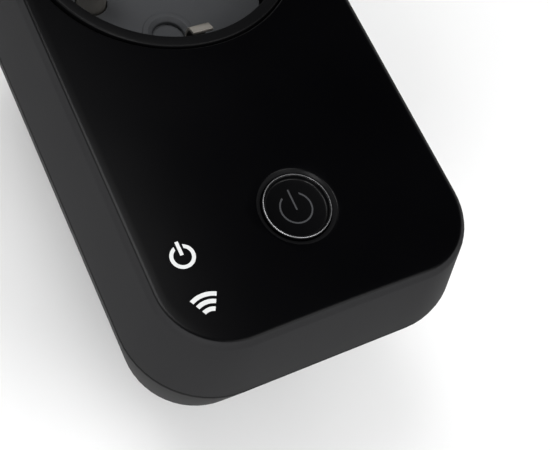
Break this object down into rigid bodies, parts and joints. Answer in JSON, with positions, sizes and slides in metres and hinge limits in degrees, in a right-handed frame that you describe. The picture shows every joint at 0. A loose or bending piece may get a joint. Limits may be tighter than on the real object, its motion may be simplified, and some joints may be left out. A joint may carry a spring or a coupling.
{
  "type": "smart plug",
  "caption": "Wall-outlet adapter with a pin-earth socket on its face, a push button and two indicator windows, and a two-pin plug behind.",
  "frame": {"origin": "centre of the plug boss's end face, on the axis that the plug and the socket share", "axes": "+Z out of the front face, +Y along the body from the button end to the socket end, +X to the right facing the socket"},
  "size_m": [0.0558, 0.0998, 0.0643],
  "materials": {
    "front_shell": "soft-touch matte black",
    "back_cover": "matte black",
    "rating_plate": "satin grey film, blank",
    "plug_boss": "matte black",
    "pin_nickel": "bright nickel plate on brass",
    "brass_strip": "rolled brass, bright",
    "contact_carrier": "moulded thermoset, off-white",
    "socket_collar": "satin black",
    "socket_floor": "satin grey",
    "shutter": "satin grey",
    "spring_steel": "drawn spring wire",
    "button": "gloss black",
    "switch_steel": "stamped steel",
    "inner_white": "moulded off-white",
    "light_guide": "clear to milky",
    "board": "green solder mask",
    "relay_case": "moulded blue",
    "capacitor_sleeve": "shrink sleeve",
    "screw_steel": "zinc-plated steel"
  },
  "bodies": {
    "housing": {"front_shell": "front_shell", "back_cover": "back_cover", "rating_plate": "rating_plate", "plug_boss": "plug_boss", "plug_pin_lower": "pin_nickel", "plug_pin_upper": "pin_nickel", "plug_earth_clip_left": "pin_nickel", "plug_earth_clip_right": "pin_nickel", "plug_earth_sleeve": "brass_strip", "contact_carrier": "contact_carrier", "earth_ring": "brass_strip", "socket_collar": "socket_collar", "socket_floor": "socket_floor", "earth_pin": "pin_nickel", "shutter_spring": "spring_steel", "contact_sleeve_lower": "brass_strip", "contact_sleeve_upper": "brass_strip", "bus_bar_lower": "brass_strip", "bus_bar_upper": "brass_strip", "button_spring": "spring_steel", "switch_body": "switch_steel", "power_light_guide": "light_guide", "wifi_light_guide": "light_guide", "power_led": "light_guide", "wifi_led": "light_guide", "main_board": "board", "control_board": "board", "board_link": "inner_white", "wifi_module": "switch_steel", "relay": "relay_case", "capacitor": "capacitor_sleeve", "transformer": "inner_white", "fuse": "light_guide", "varistor": "relay_case", "housing_screw_1": "screw_steel", "housing_screw_2": "screw_steel", "housing_screw_3": "screw_steel", "housing_screw_4": "screw_steel"},
    "button": {"button_cap": "button"},
    "switch_plunger": {"switch_plunger": "inner_white"},
    "shutter": {"shutter_rotor": "shutter"},
    "lower_tongue": {"earth_tongue_lower": "pin_nickel"},
    "upper_tongue": {"earth_tongue_upper": "pin_nickel"}
  },
  "joints": [
    {"name": "button_press", "type": "slide", "parent": "housing", "child": "button", "axis": [0, 0, -1], "range_m": [0, 0.0006], "stiffness_N_per_m": 900, "deforming": ["button_spring"]},
    {"name": "plunger_press", "type": "slide", "parent": "housing", "child": "switch_plunger", "axis": [0, 0, -1], "range_m": [0, 0.0006]},
    {"name": "shutter_turn", "type": "hinge", "parent": "housing", "child": "shutter", "pos_m": [0, 0, 0.027], "axis": [0, 0, 1], "range_deg": [0, 40], "stiffness_Nm_per_rad": 0.004},
    {"name": "lower_tongue_flex", "type": "hinge", "parent": "housing", "child": "lower_tongue", "pos_m": [0, -0.0187, 0.0307], "axis": [1, 0, 0], "range_deg": [0, 5], "stiffness_Nm_per_rad": 0.5},
    {"name": "upper_tongue_flex", "type": "hinge", "parent": "housing", "child": "upper_tongue", "pos_m": [0, 0.0187, 0.0307], "axis": [-1, 0, 0], "range_deg": [0, 5], "stiffness_Nm_per_rad": 0.5}
  ],
  "couplings": [
    {"joint": "plunger_press", "follows": "button_press", "ratio": 1}
  ]
}
